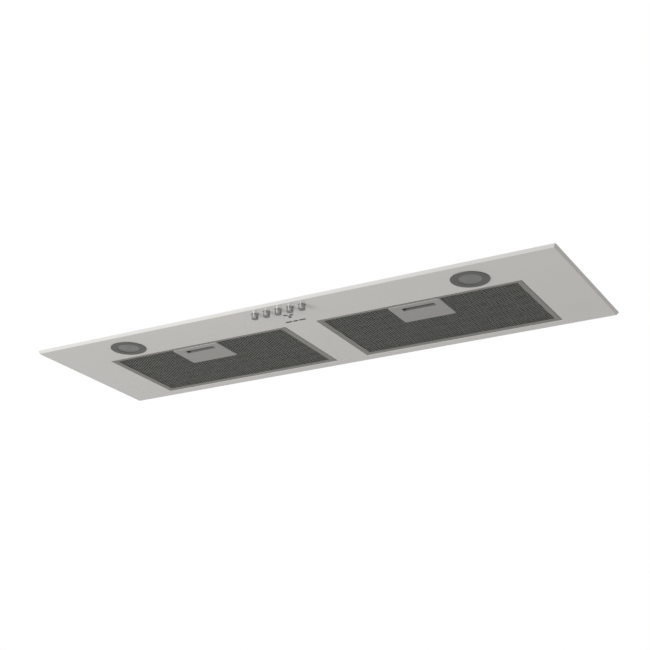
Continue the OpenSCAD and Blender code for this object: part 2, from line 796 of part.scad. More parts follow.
// Frosted glass
module lamp_lens(s) {
    color([0.8, 0.82, 0.84, 0.6]) translate([s * lamp_x, lamp_cy, face_z - 0.2])
        cylinder(r = lens_d / 2 + 0.2, h = 2);
}

// Pressed can behind the glass, tapered to clear the raked top
module lamp_can(s) {
    z0 = face_back + 1.05;
    color(alu) translate([s * lamp_x, lamp_cy, 0]) rotate_extrude($fn = 96) polygon([
        [can_r - 8, z0], [can_r, z0], [can_r, can_knee], [can_end_r, can_top], [0, can_top],
        [0, can_top - 1], [can_end_r - 0.4, can_top - 1], [can_r - 1, can_knee - 0.5],
        [can_r - 1, z0 + 1], [can_r - 8, z0 + 1]
    ]);
}

// Bulb and its holder
module lamp_bulb(s) {
    color([0.95, 0.93, 0.85]) translate([s * lamp_x, lamp_cy, 0]) {
        translate([0, 0, can_top - 5]) cylinder(r = 7, h = 3.95);
        translate([0, 0, can_top - 8]) cylinder(r = 5, h = 3.01);
    }
}

// ---- Filters ----------------------------------------------------------------------------

// Folded channel round the mesh, with a pivot peg at each rear corner
module filter_frame(s) {
    wx = filter_w / 2;
    color(alu) translate([s * open_x, 0, 0]) {
        difference() {
            block([-wx, filter_y0, filter_z], [wx, filter_y1, filter_z + frame_h]);
            block([-mesh_w / 2, mesh_y0, filter_z - 1], [mesh_w / 2, mesh_y1, filter_z + frame_h + 1]);
            block([-wx + frame_t, filter_y0 + frame_t, filter_z + frame_t],
                  [wx - frame_t, filter_y1 - frame_t, filter_z + frame_h - frame_t]);
            block([latch_dx - bolt_w / 2 - bolt_gap, filter_y0 - 1, slider_top - 0.4],
                  [latch_dx + bolt_w / 2 + bolt_gap, mesh_y0 + 1, slider_top + bolt_t + 0.4]);
        }
        for (t = [-1, 1]) translate([t > 0 ? wx - 0.5 : -wx - peg_l, pivot_y, pivot_z]) rotate([0, 90, 0])
            cylinder(r = peg_r, h = peg_l + 0.5);
    }
}

// Front sheet of expanded mesh, held in the channel of the frame
module filter_mesh(s) {
    wx = filter_w / 2 - frame_t - 0.2;
    color([0.32, 0.32, 0.3]) translate([s * open_x, 0, 0]) difference() {
        block([-wx, filter_y0 + frame_t + 0.2, mesh_z], [wx, filter_y1 - frame_t - 0.2, mesh_z + mesh_t]);
        block([latch_dx - latch_w / 2 - 0.2, filter_y0, mesh_z - 1],
              [latch_dx + latch_w / 2 + 0.2, latch_y0 + latch_d + 0.2, mesh_z + 2]);
    }
}

// Four thin inner layers and the rear sheet
module filter_layers(s) {
    wx = filter_w / 2 - frame_t - 0.2;
    z0 = latch_back + 1;
    color([0.45, 0.45, 0.43]) translate([s * open_x, 0, 0]) for (i = [0:layer_n - 1]) difference() {
        t = i == layer_n - 1 ? mesh_t : layer_t;
        block([-wx, filter_y0 + frame_t + 0.2, z0 + i * layer_step],
              [wx, filter_y1 - frame_t - 0.2, z0 + i * layer_step + t]);
        block([latch_dx - well_w / 2 - 2, filter_y0, z0 - 1],
              [latch_dx + well_w / 2 + 2, latch_y0 + latch_d + 1, z0 + 20]);
    }
}

// Pressed housing of the latch: front plate with the finger window, and the well behind it
module latch_plate(s) {
    y1 = latch_y0 + latch_d;
    flange_z0 = mesh_z + mesh_t;
    wx = latch_w / 2;
    bx = bolt_w / 2 + bolt_gap;
    color([0.57, 0.57, 0.55]) translate([s * open_x + latch_dx, 0, 0]) difference() {
        union() {
            block([-wx, latch_y0, plate_z], [wx, y1, latch_back + well_t]);
            block([-wx - 3, latch_y0, flange_z0], [wx + 3, y1 + 3, flange_z0 + well_t]);
            block([-well_w / 2 - 1, window_y0 - 1, latch_back], [well_w / 2 + 1, window_y1 + 8, well_top]);
            block([-4.5, window_y1, latch_back], [4.5, spring_y1 + 1, well_top - 1]);
        }
        block([-wx + 1, latch_y0 + 1, plate_z + plate_t], [wx - 1, y1 - 1, latch_back]);
        block([-bx, latch_y0 - 1, plate_z + plate_t], [bx, window_y0 - 3, latch_back + 2]);
        block([-window_w / 2, window_y0, plate_z - 1], [window_w / 2, window_y1, plate_z + 2]);
        block([-well_w / 2, window_y0, latch_back - 1], [well_w / 2, window_y1 + 7, well_top - well_t]);
        block([-3.5, window_y1 - 1, latch_back - 1], [3.5, spring_y1, well_top - 1.8]);
    }
}

// Sliding plate with the finger lip, the tab for the spring and the bolt
module latch_slider(s) {
    wx = 30;
    front = latch_y0 + 1.3;
    bolt_y = window_y0 - latch_travel - 4.4;
    color([0.5, 0.5, 0.48]) translate([s * open_x + latch_dx, 0, 0]) {
        difference() {
            block([-wx, front, slider_z], [wx, slider_y1, slider_top]);
            block([-window_w / 2, window_y0 - latch_travel - 0.2, slider_z - 1],
                  [window_w / 2, lip_y, slider_top + 1]);
        }
        block([-bolt_w / 2, bolt_tip, slider_top], [bolt_w / 2, bolt_y, slider_top + bolt_t]);
        block([-lip_w / 2, lip_y, slider_top - eps], [lip_w / 2, lip_y + slider_t, slider_top + lip_h]);
        block([-3, slider_y1 - slider_t, slider_top - eps], [3, slider_y1, well_top - 2.2]);
    }
}

// Spring between the tab of the slider and the end of its tunnel
module latch_spring(s) {
    start = slider_y1 + 0.1;
    color([0.7, 0.7, 0.7]) translate([s * open_x + latch_dx, start, latch_back + 1.9])
        rotate([-90, 0, 0]) coil(1.5, 0.25, spring_y1 - start - 0.1, 7);
}

// Bearing blocks for the filter pegs, fixed outside the lips of the panel
module filter_sockets() {
    color(dark) for (s = [-1, 1]) for (t = [-1, 1]) {
        lip_x = open_w / 2 + panel_t + 0.05;
        x0 = s * open_x + (t > 0 ? lip_x : -lip_x - 6);
        difference() {
            block([x0, pivot_y - 5, face_back + 0.05], [x0 + 6, pivot_y + 5, pivot_z + 6]);
            translate([x0 - 1, pivot_y, pivot_z]) rotate([0, 90, 0])
                cylinder(r = peg_r + socket_clear, h = 8);
        }
    }
}

face_panel();
chassis();
top_cover();
front_partition();
scroll(-1);  // scroll_left
scroll(1);  // scroll_right
impeller(-1);  // impeller_left
impeller(1);  // impeller_right
motor_can();
motor_end(-1);  // motor_end_left
motor_end(1);  // motor_end_right
stator();
rotor_core();
motor_shaft();
bearings();
motor_bracket();
rubber_mounts();
duct_collar();
damper_flap();
damper_pin();
capacitor();
capacitor_clip();
terminal_box();
terminal_cover();
cable_gland();
button_guide();
switch_housing();
button(1);  // button_1
button(2);  // button_2
button(3);  // button_3
button(4);  // button_4
button(5);  // button_5
button_spring(1);  // button_spring_1
button_spring(2);  // button_spring_2
button_spring(3);  // button_spring_3
button_spring(4);  // button_spring_4
button_spring(5);  // button_spring_5
lamp_bezel(-1);  // lamp_bezel_left
lamp_bezel(1);  // lamp_bezel_right
lamp_lens(-1);  // lamp_lens_left
lamp_lens(1);  // lamp_lens_right
lamp_can(-1);  // lamp_can_left
lamp_can(1);  // lamp_can_right
lamp_bulb(-1);  // lamp_bulb_left
lamp_bulb(1);  // lamp_bulb_right
filter_frame(-1);  // filter_frame_left
filter_frame(1);  // filter_frame_right
filter_mesh(-1);  // filter_mesh_left
filter_mesh(1);  // filter_mesh_right
filter_layers(-1);  // filter_layers_left
filter_layers(1);  // filter_layers_right
latch_plate(-1);  // latch_plate_left
latch_plate(1);  // latch_plate_right
latch_slider(-1);  // latch_slider_left
latch_slider(1);  // latch_slider_right
latch_spring(-1);  // latch_spring_left
latch_spring(1);  // latch_spring_right
filter_sockets();
body_screws();
wiring_harness();
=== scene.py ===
import math

import bmesh
import bpy
from mathutils import Matrix, Vector


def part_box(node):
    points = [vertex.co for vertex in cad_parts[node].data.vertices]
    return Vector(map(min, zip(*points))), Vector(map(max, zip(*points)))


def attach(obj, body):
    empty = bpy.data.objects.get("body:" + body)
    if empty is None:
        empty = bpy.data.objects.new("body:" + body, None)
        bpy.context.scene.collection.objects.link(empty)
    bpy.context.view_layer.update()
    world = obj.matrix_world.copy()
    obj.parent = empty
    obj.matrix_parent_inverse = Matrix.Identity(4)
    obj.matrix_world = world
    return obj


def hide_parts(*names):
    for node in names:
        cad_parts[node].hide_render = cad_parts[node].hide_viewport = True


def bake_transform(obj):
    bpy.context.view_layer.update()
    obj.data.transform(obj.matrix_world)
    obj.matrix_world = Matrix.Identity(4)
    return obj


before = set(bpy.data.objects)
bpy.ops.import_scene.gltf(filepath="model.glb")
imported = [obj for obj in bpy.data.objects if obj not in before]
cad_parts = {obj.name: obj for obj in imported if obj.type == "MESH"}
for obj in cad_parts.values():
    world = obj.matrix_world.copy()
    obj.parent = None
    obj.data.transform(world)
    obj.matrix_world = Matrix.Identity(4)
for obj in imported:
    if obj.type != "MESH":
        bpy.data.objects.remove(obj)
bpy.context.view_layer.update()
MM = 0.001
SIDES = ("left", "right")
# turns that lay the Z axis along another axis
TURN = {"X": Matrix.Rotation(math.pi / 2, 4, "Y"), "Y": Matrix.Rotation(-math.pi / 2, 4, "X"), "Z": Matrix()}


# ---- Places, all worked out from the CAD nodes ------------------------------------------

def box(node):
    """Lowest and highest corner of a CAD node as vectors."""
    lo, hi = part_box(node)
    return Vector(lo), Vector(hi)


def centre(node):
    lo, hi = box(node)
    return (lo + hi) / 2


PANEL_LO, PANEL_HI = box("face_panel")
FACE_Z = PANEL_LO.z         # the panel's flat face
LIP_TOP = PANEL_HI.z        # top of the lips round the filter openings
FRAMES = {side: box("filter_frame_" + side) for side in SIDES}
LAMPS = {side: centre("lamp_bezel_" + side) for side in SIDES}
LATCHES = {side: centre("latch_slider_" + side).x for side in SIDES}
BUTTONS = [centre("button_%d" % i) for i in range(1, 6)]


# ---- Pieces -----------------------------------------------------------------------------

def new_object(name, mesh, body, material, replaces=()):
    """Links a mesh as an object, and as a piece that rides on body where one is given."""
    obj = bpy.data.objects.new(name, mesh)
    bpy.context.scene.collection.objects.link(obj)
    mesh.materials.append(material)
    if body:
        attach(obj, body)
    if replaces:
        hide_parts(*replaces)
    return obj


def mesh_from(name, bm, smooth=False):
    """Turns a bmesh into a mesh, and frees the bmesh."""
    mesh = bpy.data.meshes.new(name)
    bm.normal_update()
    bm.to_mesh(mesh)
    bm.free()
    for poly in mesh.polygons:
        poly.use_smooth = smooth
    return mesh


def shade(obj, angle):
    """Smooth shading with sharp edges above an angle, and flat faces kept flat up to their edges."""
    for poly in obj.data.polygons:
        poly.use_smooth = True
    bm = bmesh.new()
    bm.from_mesh(obj.data)
    limit = math.radians(angle)
    for edge in bm.edges:
        edge.smooth = len(edge.link_faces) == 2 and edge.calc_face_angle(0) < limit
    bm.to_mesh(obj.data)
    bm.free()
    weights = obj.modifiers.new("weights", "WEIGHTED_NORMAL")
    weights.keep_sharp = True
    weights.weight = 100


def make_piece(name, bm, body, material, replaces=(), angle=None):
    """Makes a closed mesh into a piece, flat shaded, or smooth up to an angle where one is given."""
    bmesh.ops.recalc_face_normals(bm, faces=bm.faces)
    obj = new_object(name, mesh_from(name, bm), body, material, replaces)
    if angle:
        shade(obj, angle)
    return obj


def cut_out(obj, blocks, cylinders=()):
    """Cuts blocks, given as corner pairs, and cylinders, given as (middle, axis, radius, length)."""
    bm = bmesh.new()
    for lo, hi in blocks:
        made = bmesh.ops.create_cube(bm, size=1)["verts"]
        size = [h - l for l, h in zip(lo, hi)]
        mid = [(h + l) / 2 for l, h in zip(lo, hi)]
        bmesh.ops.transform(bm, matrix=Matrix.Translation(mid) @ Matrix.Diagonal((*size, 1)), verts=made)
    for mid, axis, radius, length in cylinders:
        add_cylinder(bm, mid, axis, radius, length)
    tool = bpy.data.objects.new("cutter", mesh_from("cutter", bm))
    bpy.context.scene.collection.objects.link(tool)
    cut = obj.modifiers.new("cut", "BOOLEAN")
    cut.operation = "DIFFERENCE"
    cut.solver = "EXACT"
    cut.object = tool
    deps = bpy.context.evaluated_depsgraph_get()
    mesh = bpy.data.meshes.new_from_object(obj.evaluated_get(deps))
    obj.modifiers.clear()
    obj.data = mesh
    bpy.data.objects.remove(tool)


# ---- Loops, lofts and turned shapes -----------------------------------------------------

def grow(edges, by):
    """Edges x0, x1, y0, y1 of a rectangle, moved outwards."""
    x0, x1, y0, y1 = edges
    return (x0 - by, x1 + by, y0 - by, y1 + by)


def rect_loop(x0, x1, y0, y1, r, z, steps=5):
    """Points of a rectangle with round corners at height z, anticlockwise from above."""
    least = 1e-6
    r = max(min(r, (x1 - x0) / 2 - least, (y1 - y0) / 2 - least), least)
    corners = ((x1 - r, y1 - r), (x0 + r, y1 - r), (x0 + r, y0 + r), (x1 - r, y0 + r))
    points = []
    for quarter, (cx, cy) in enumerate(corners):
        for i in range(steps + 1):
            a = math.radians(90 * quarter + 90 * i / steps)
            points.append((cx + r * math.cos(a), cy + r * math.sin(a), z))
    return points


def ring_loop(cx, cy, r, z):
    """Points of a circle at height z."""
    steps = 48
    angles = [2 * math.pi * i / steps for i in range(steps)]
    return [(cx + r * math.cos(a), cy + r * math.sin(a), z) for a in angles]


def add_loft(bm, loops, closed=False, caps=False):
    """Skins loops of equal length, and closes the ends where caps is set. Returns the rows of vertices."""
    rows = [[bm.verts.new(p) for p in loop] for loop in loops]
    pairs = list(zip(rows, rows[1:])) + ([(rows[-1], rows[0])] if closed else [])
    for low, high in pairs:
        for i in range(len(low)):
            j = (i + 1) % len(low)
            bm.faces.new((low[i], low[j], high[j], high[i]))
    if caps:
        bm.faces.new(rows[0][::-1])
        bm.faces.new(rows[-1])
    return rows


def add_slab(bm, edges, corner, low, high):
    """Plate with round corners between two heights."""
    add_loft(bm, [rect_loop(*edges, corner, z) for z in (low, high)], caps=True)


def add_cylinder(bm, mid, axis, radius, length):
    bmesh.ops.create_cone(bm, cap_ends=True, segments=32, radius1=radius, radius2=radius, depth=length,
                          matrix=Matrix.Translation(mid) @ TURN[axis])


def add_tube(bm, points, radius):
    """Closed tube of eight sides along points."""
    angles = [2 * math.pi * k / 8 for k in range(8)]
    side = None
    loops = []
    for i, p in enumerate(points):
        d = (points[min(i + 1, len(points) - 1)] - points[max(i - 1, 0)]).normalized()
        if side is None:
            side = d.orthogonal().normalized()
        side = (side - d * side.dot(d)).normalized()
        up = d.cross(side)
        loops.append([p + side * radius * math.cos(a) + up * radius * math.sin(a) for a in angles])
    add_loft(bm, loops, caps=True)


def fill_between(bm, rows):
    """Fills the flat area bounded by rows of vertices: the first is the outside, the others are holes."""
    edges = []
    for row in rows:
        for i in range(len(row)):
            edges.append(bm.edges.get((row[i], row[(i + 1) % len(row)])))
    bmesh.ops.triangle_fill(bm, edges=edges, use_beauty=True)


def round_profile(start, corner, end, radius):
    """Points of the rounded corner of a 2D path start-corner-end."""
    a, c, b = Vector(start), Vector(corner), Vector(end)
    u, v = (a - c).normalized(), (b - c).normalized()
    cut = radius / math.tan(u.angle(v) / 2)
    p, q = c + u * cut, c + v * cut
    steps = 4
    points = []
    for i in range(steps + 1):
        t = i / steps
        points.append(p * (1 - t) ** 2 + c * 2 * t * (1 - t) + q * t * t)
    return points


def lathe(profile, middle, axis="Z", steps=96):
    """Surface of revolution of (radius, height) points about an axis through middle."""
    bm = bmesh.new()
    angles = [2 * math.pi * i / steps for i in range(steps)]
    rings = []
    for r, h in profile:
        on_axis = r < 1e-7
        ring = [(0, 0, h)] if on_axis else [(r * math.cos(a), r * math.sin(a), h) for a in angles]
        rings.append([bm.verts.new(p) for p in ring])
    for low, high in zip(rings, rings[1:]):
        for i in range(steps):
            j = (i + 1) % steps
            quad = [low[i % len(low)], low[j % len(low)], high[j % len(high)], high[i % len(high)]]
            corners = list(dict.fromkeys(quad))
            if len(corners) > 2:
                bm.faces.new(corners)
    bmesh.ops.transform(bm, matrix=Matrix.Translation(middle) @ TURN[axis], verts=bm.verts)
    return bm


# ---- Materials --------------------------------------------------------------------------

class Nodes:
    """Short way to build a node material round one Principled shader."""

    def __init__(self, name, metallic=0.0, roughness=0.4):
        self.mat = bpy.data.materials.new(name)
        self.mat.use_nodes = True
        self.tree = self.mat.node_tree
        self.shader = self.tree.nodes["Principled BSDF"]
        self.shader.inputs["Metallic"].default_value = metallic
        self.shader.inputs["Roughness"].default_value = roughness

    def add(self, kind, links=(), **values):
        """Adds a node, sets its sockets and properties, and links inputs given as (input, output socket)."""
        node = self.tree.nodes.new(kind)
        for key, value in values.items():
            if key in node.inputs:
                node.inputs[key].default_value = value
            else:
                setattr(node, key, value)
        for name, source in links:
            self.tree.links.new(source, node.inputs[name])
        return node

    def place(self, scale=(1, 1, 1)):
        """Object coordinates in metres, stretched by scale."""
        coords = self.add("ShaderNodeTexCoord")
        return self.add("ShaderNodeMapping", [("Vector", coords.outputs["Object"])],
                        Scale=scale).outputs["Vector"]

    def noise(self, scale, where, detail, rough=0.5):
        return self.add("ShaderNodeTexNoise", [("Vector", where)],
                        Scale=scale, Detail=detail, Roughness=rough).outputs["Fac"]

    def mix(self, fine, share, broad):
        """Adds a share of a fine pattern to a broad one."""
        node = self.add("ShaderNodeMath", [(0, fine), (2, broad)], operation="MULTIPLY_ADD")
        node.inputs[1].default_value = share
        return node.outputs[0]

    def colour(self, source, start, low, end, high):
        """Base colour that runs from low, where source is start, to high, where it is end."""
        node = self.add("ShaderNodeValToRGB", [("Fac", source)])
        for stop, position, tint in zip(node.color_ramp.elements, (start, end), (low, high)):
            stop.position = position
            stop.color = (*tint, 1)
        self.tree.links.new(node.outputs["Color"], self.shader.inputs["Base Color"])

    def roughness(self, source, low, high):
        """Roughness that runs from low to high as source runs from 0 to 1."""
        node = self.add("ShaderNodeMapRange", [("Value", source)])
        node.inputs["To Min"].default_value = low
        node.inputs["To Max"].default_value = high
        self.tree.links.new(node.outputs["Result"], self.shader.inputs["Roughness"])

    def bump(self, height, strength, distance):
        node = self.add("ShaderNodeBump", [("Height", height)], Strength=strength, Distance=distance)
        self.tree.links.new(node.outputs["Normal"], self.shader.inputs["Normal"])


def grey(value, warm=0.0, green=0.0):
    """Linear grey, with a little less blue where warm is positive and more green where green is."""
    return (value, value * (1 - warm * 0.35 + green), value * (1 - warm))


def satin_steel(name, tone, warm, metallic, brush=(3, 160, 160), rough=(0.42, 0.52)):
    """Sheet steel with fine marks, brushed along X unless brush is even, and faint broad clouding."""
    m = Nodes(name, metallic)
    lines = m.noise(6, m.place(brush), 6, 0.6)
    clouds = m.noise(3, m.place(), 2)
    m.colour(m.mix(lines, 0.7, clouds), 0.35, grey(tone * 0.965, warm), 0.95, grey(tone * 1.035, warm))
    m.roughness(lines, *rough)
    m.bump(lines, 0.05, 0.0002)
    return m.mat


def galvanised(name, tone):
    """Zinc-coated sheet with a soft spangle, slightly blue."""
    m = Nodes(name, metallic=0.4)
    where = m.place()
    cells = m.add("ShaderNodeTexVoronoi", [("Vector", where)], feature="F1", Scale=140)
    spangle = m.add("ShaderNodeSeparateColor", [("Color", cells.outputs["Color"])]).outputs["Red"]
    clouds = m.noise(14, where, 5)
    m.colour(m.mix(spangle, 0.35, clouds), 0.25, grey(tone * 0.85, -0.03), 1.0, grey(tone * 1.15, -0.03))
    m.roughness(spangle, 0.64, 0.74)
    m.bump(clouds, 0.04, 0.0002)
    return m.mat


def moulded(name, colour, rough=(0.4, 0.55), grain=900, strength=0.12, specular=0.5):
    """Moulded plastic, rubber or glass with a fine grain."""
    m = Nodes(name)
    m.shader.inputs["Specular IOR Level"].default_value = specular
    where = m.place()
    fine = m.noise(grain, where, 3)
    broad = m.noise(25, where, 3)
    m.colour(broad, 0.3, tuple(c * 0.9 for c in colour), 0.7, tuple(c * 1.1 for c in colour))
    m.roughness(broad, *rough)
    m.bump(fine, strength, 0.0001)
    return m.mat


def turned_metal(name, tone, metallic=0.9, rough=(0.22, 0.34), scratch=700, warm=0.0, green=0.0):
    """Machined, drawn or painted metal with fine marks."""
    m = Nodes(name, metallic)
    where = m.place()
    marks = m.noise(scratch, where, 5, 0.65)
    broad = m.noise(40, where, 2)
    m.colour(broad, 0.3, grey(tone * 0.93, warm, green), 0.7, grey(tone * 1.06, warm, green))
    m.roughness(marks, *rough)
    m.bump(marks, 0.05, 0.00005)
    return m.mat


# ---- Face panel -------------------------------------------------------------------------

SHEET = 1.0 * MM            # thickness of the panel
RIM_IN = 3.4 * MM           # how far the rim leans in at the front, rear and right edges
RIM_LEFT = 0.5 * MM         # and at the left edge
FACE_X = PANEL_HI.x - RIM_IN
FACE_Y = PANEL_HI.y - RIM_IN
FILTER_GAP = 0.8 * MM       # gap of the CAD between filter frame and opening
REAR_GAP = 1.9 * MM         # the same at the rear, where the filter turns
PEG = 7.5 * MM              # length of the filter's pivot pegs
PEG_R = 2.0 * MM
PIVOT_IN = 4.5 * MM         # from the frame's rear and lower edges to the middle of a peg
BOLT_X = 11.0 * MM          # half the width of the bolt's slot
LAMP_HOLE = 25.5 * MM       # radius
BUTTON_HOLE = ((5.6, 0), (5.35, 0.15), (5.3, 1.0))      # radius and height in mm, from the face in
LIP_SCREW_Z = 9.5 * MM


def opening(side):
    """Edges x0, x1, y0, y1 of a filter opening, from its frame, less the frame's pegs."""
    lo, hi = FRAMES[side]
    return (lo.x + PEG - FILTER_GAP, hi.x - PEG + FILTER_GAP, lo.y - FILTER_GAP, hi.y + REAR_GAP)


def rim_profile(out, lean):
    """Section of the panel's edge as (outset, height): the face, the leaning rim, its top, and its inside."""
    flat = out - lean
    slope = round_profile((flat - 4 * MM, FACE_Z), (flat, FACE_Z), (out, 0), 0.45 * MM)
    top = round_profile((flat, FACE_Z), (out, 0), (out - 1.2 * MM, 0), 0.35 * MM)
    inside = [(out - 1.25 * MM, 0), (out - lean * 0.9 - 1.3 * MM, FACE_Z + SHEET)]
    return [Vector(p) for p in slope + top + inside]


def edge_loops():
    """Loops of the panel's outline, from the face round the rim to the inside of the sheet."""
    x_less_y = PANEL_HI.x - PANEL_HI.y
    loops = []
    for right, left in zip(rim_profile(PANEL_HI.x, RIM_IN), rim_profile(-PANEL_LO.x, RIM_LEFT)):
        y = right.x - x_less_y
        corner = 0.9 * MM + max(0, right.x - FACE_X) * 0.3
        loops.append(rect_loop(-left.x, right.x, -y, y, corner, right.y))
    return loops


def opening_loops(side):
    """Loops of a filter opening: the face's rounded edge, the lip, its top, and its other side."""
    edge = 0.5 * MM
    section = ((edge, FACE_Z, 1.6), (edge * 0.3, FACE_Z + edge * 0.3, 1.2), (0, FACE_Z + edge, 1.0),
               (0, LIP_TOP, 1.0), (SHEET, LIP_TOP, 1.6), (SHEET, FACE_Z + SHEET, 1.6))
    return [rect_loop(*grow(opening(side), out), corner * MM, z) for out, z, corner in section]


def cut_lips(panel):
    """Cuts the bolts' slots, the pegs' holes and two screw holes in the lips of each opening."""
    slots, holes = [], []
    for side in SIDES:
        x0, x1, y0, _ = opening(side)
        bolt = LATCHES[side]
        slots.append(((bolt - BOLT_X, y0 - 3 * MM, FACE_Z + 1.6 * MM),
                      (bolt + BOLT_X, y0 + 1 * MM, FACE_Z + 3.7 * MM)))
        frame_lo, frame_hi = FRAMES[side]
        for x in (x0 - SHEET, x1 + SHEET):
            pivot = (x, frame_hi.y - PIVOT_IN, frame_lo.z + PIVOT_IN)
            holes.append((pivot, "X", PEG_R + 0.6 * MM, 4 * MM))
        mid, quarter = (x0 + x1) / 2, (x1 - x0) / 4
        for x in (mid - quarter, mid + quarter):
            holes.append(((x, y0 - SHEET / 2, LIP_SCREW_Z), "Y", 2.2 * MM, 4 * MM))
    cut_out(panel, slots, holes)


def on_lip(c):
    """Whether a face's centre is on a lip round a filter opening."""
    for side in SIDES:
        x0, x1, y0, y1 = grow(opening(side), 3 * MM)
        if c.z > FACE_Z + 0.4 * MM and x0 < c.x < x1 and y0 < c.y < y1:
            return True
    return False


def on_rim(c):
    """Whether a face's centre is outside the flat face."""
    return c.x < PANEL_LO.x + RIM_LEFT or c.x > FACE_X or c.y < PANEL_LO.y + RIM_IN or c.y > FACE_Y


def make_panel(material, lip_shade_material, rim_shade_material):
    """Formed sheet with a leaning rim, lipped filter openings, lamp holes and button holes."""
    bm = bmesh.new()
    outside = add_loft(bm, edge_loops())
    holes = []
    for side in SIDES:
        holes.append(add_loft(bm, opening_loops(side)))
        x, y = LAMPS[side].xy
        holes.append(add_loft(bm, [ring_loop(x, y, LAMP_HOLE, z) for z in (FACE_Z, FACE_Z + SHEET)]))
    for mid in BUTTONS:
        holes.append(add_loft(bm, [ring_loop(mid.x, mid.y, r * MM, FACE_Z + h * MM) for r, h in BUTTON_HOLE]))
    fill_between(bm, [outside[0]] + [rows[0] for rows in holes])
    fill_between(bm, [outside[-1]] + [rows[-1] for rows in holes])
    panel = make_piece("face_panel_sheet", bm, "hood", material, ("face_panel",))
    cut_lips(panel)
    # The lips round the openings take a much darker copy of the panel's steel: painted shade on the walls inside
    # the gaps beside the filters.
    panel.data.materials.append(lip_shade_material)
    # The leaning rim takes a slightly darker copy of the same steel: painted shade where the rim turns away from
    # the light.
    panel.data.materials.append(rim_shade_material)
    for poly in panel.data.polygons:
        if on_lip(poly.center):
            poly.material_index = 1
        elif on_rim(poly.center):
            poly.material_index = 2
    shade(panel, 28)


# ---- Filters ----------------------------------------------------------------------------

ROLL = 0.35 * MM            # how much wider the channel is than the CAD frame, on each side
BAR_FRONT, BAR_REAR, BAR_SIDE = 5.5 * MM, 8.0 * MM, 8.5 * MM
BAR_INNER_LEFT = 9.8 * MM   # the left filter's bar beside the middle of the panel
WAVE = 0.35 * MM            # how far a strand rises and falls
SHORTEST = 1.5 * MM         # shorter ends of strands are left out


def make_filter_frame(side, material):
    """Rolled channel round the mesh: flat outside, a step, then a lip that holds the mesh."""
    lo, hi = FRAMES[side]
    x0, x1 = lo.x + PEG - ROLL, hi.x - PEG + ROLL
    bar_right = BAR_INNER_LEFT if side == "left" else BAR_SIDE
    deep = hi.z - lo.z
    # share of the bar's width, and height above the lowest face
    section = ((0.0, deep - 0.5 * MM), (0.0, 0.4 * MM), (0.015, 0.12 * MM), (0.045, 0.01 * MM), (0.08, 0.0),
               (0.5, 0.0), (0.56, 0.05 * MM), (0.62, 0.22 * MM), (0.68, 0.27 * MM), (0.94, 0.27 * MM),
               (0.985, 0.36 * MM), (1.0, 0.5 * MM), (1.0, 0.7 * MM), (0.25, 0.7 * MM), (0.12, 0.85 * MM),
               (0.1, 1.2 * MM), (0.1, deep - 1.2 * MM), (0.2, deep - 0.75 * MM), (1.0, deep - 0.75 * MM),
               (1.0, deep), (0.09, deep))
    loops = []
    for share, h in section:
        loops.append(rect_loop(x0 + BAR_SIDE * share, x1 - bar_right * share, lo.y + BAR_FRONT * share,
                               hi.y - BAR_REAR * share, (0.9 - 0.7 * share) * MM, lo.z + h, steps=3))
    bm = bmesh.new()
    add_loft(bm, loops, closed=True)
    for x in (x0 - PEG / 2 + ROLL, x1 + PEG / 2 - ROLL):
        add_cylinder(bm, (x, hi.y - PIVOT_IN, lo.z + PIVOT_IN), "X", PEG_R, PEG)
    channel = make_piece("filter_channel_" + side, bm, "filter_" + side, material,
                         ("filter_frame_" + side,))
    bolt, half = LATCHES[side], BOLT_X - 0.2 * MM
    cut_out(channel, [((bolt - half, lo.y - MM, lo.z + 1.5 * MM),
                       (bolt + half, lo.y + BAR_FRONT + MM, lo.z + 3.6 * MM))])
    shade(channel, 30)


def add_strand(bm, points, half_width, half_thick):
    """Flat strand of four sides along points."""
    up = Vector((0, 0, 1))
    loops = []
    for i, p in enumerate(points):
        along = points[min(i + 1, len(points) - 1)] - points[max(i - 1, 0)]
        side = along.cross(up).normalized() * half_width
        lift = up * half_thick
        loops.append([p + side, p + lift, p - side, p - lift])
    add_loft(bm, loops, caps=True)


def clip_line(p, d, edges):
    """Part of the line p + t d inside a rectangle, as (t0, t1), or None."""
    x0, x1, y0, y1 = edges
    t0, t1 = -1e9, 1e9
    for value, step, low, high in ((p.x, d.x, x0, x1), (p.y, d.y, y0, y1)):
        a, b = (low - value) / step, (high - value) / step
        t0, t1 = max(t0, min(a, b)), min(t1, max(a, b))
    return (t0, t1) if t1 - t0 > SHORTEST else None


def strand_spans(base, d, area, hole):
    """Stretches (t0, t1) of a strand's line that lie inside area and outside hole."""
    span = clip_line(base, d, area)
    if not span:
        return []
    cut = clip_line(base, d, hole)
    if not cut or cut[0] >= span[1] or cut[1] <= span[0]:
        return [span]
    parts = [(span[0], min(span[1], cut[0])), (max(span[0], cut[1]), span[1])]
    return [(t0, t1) for t0, t1 in parts if t1 - t0 >= SHORTEST]


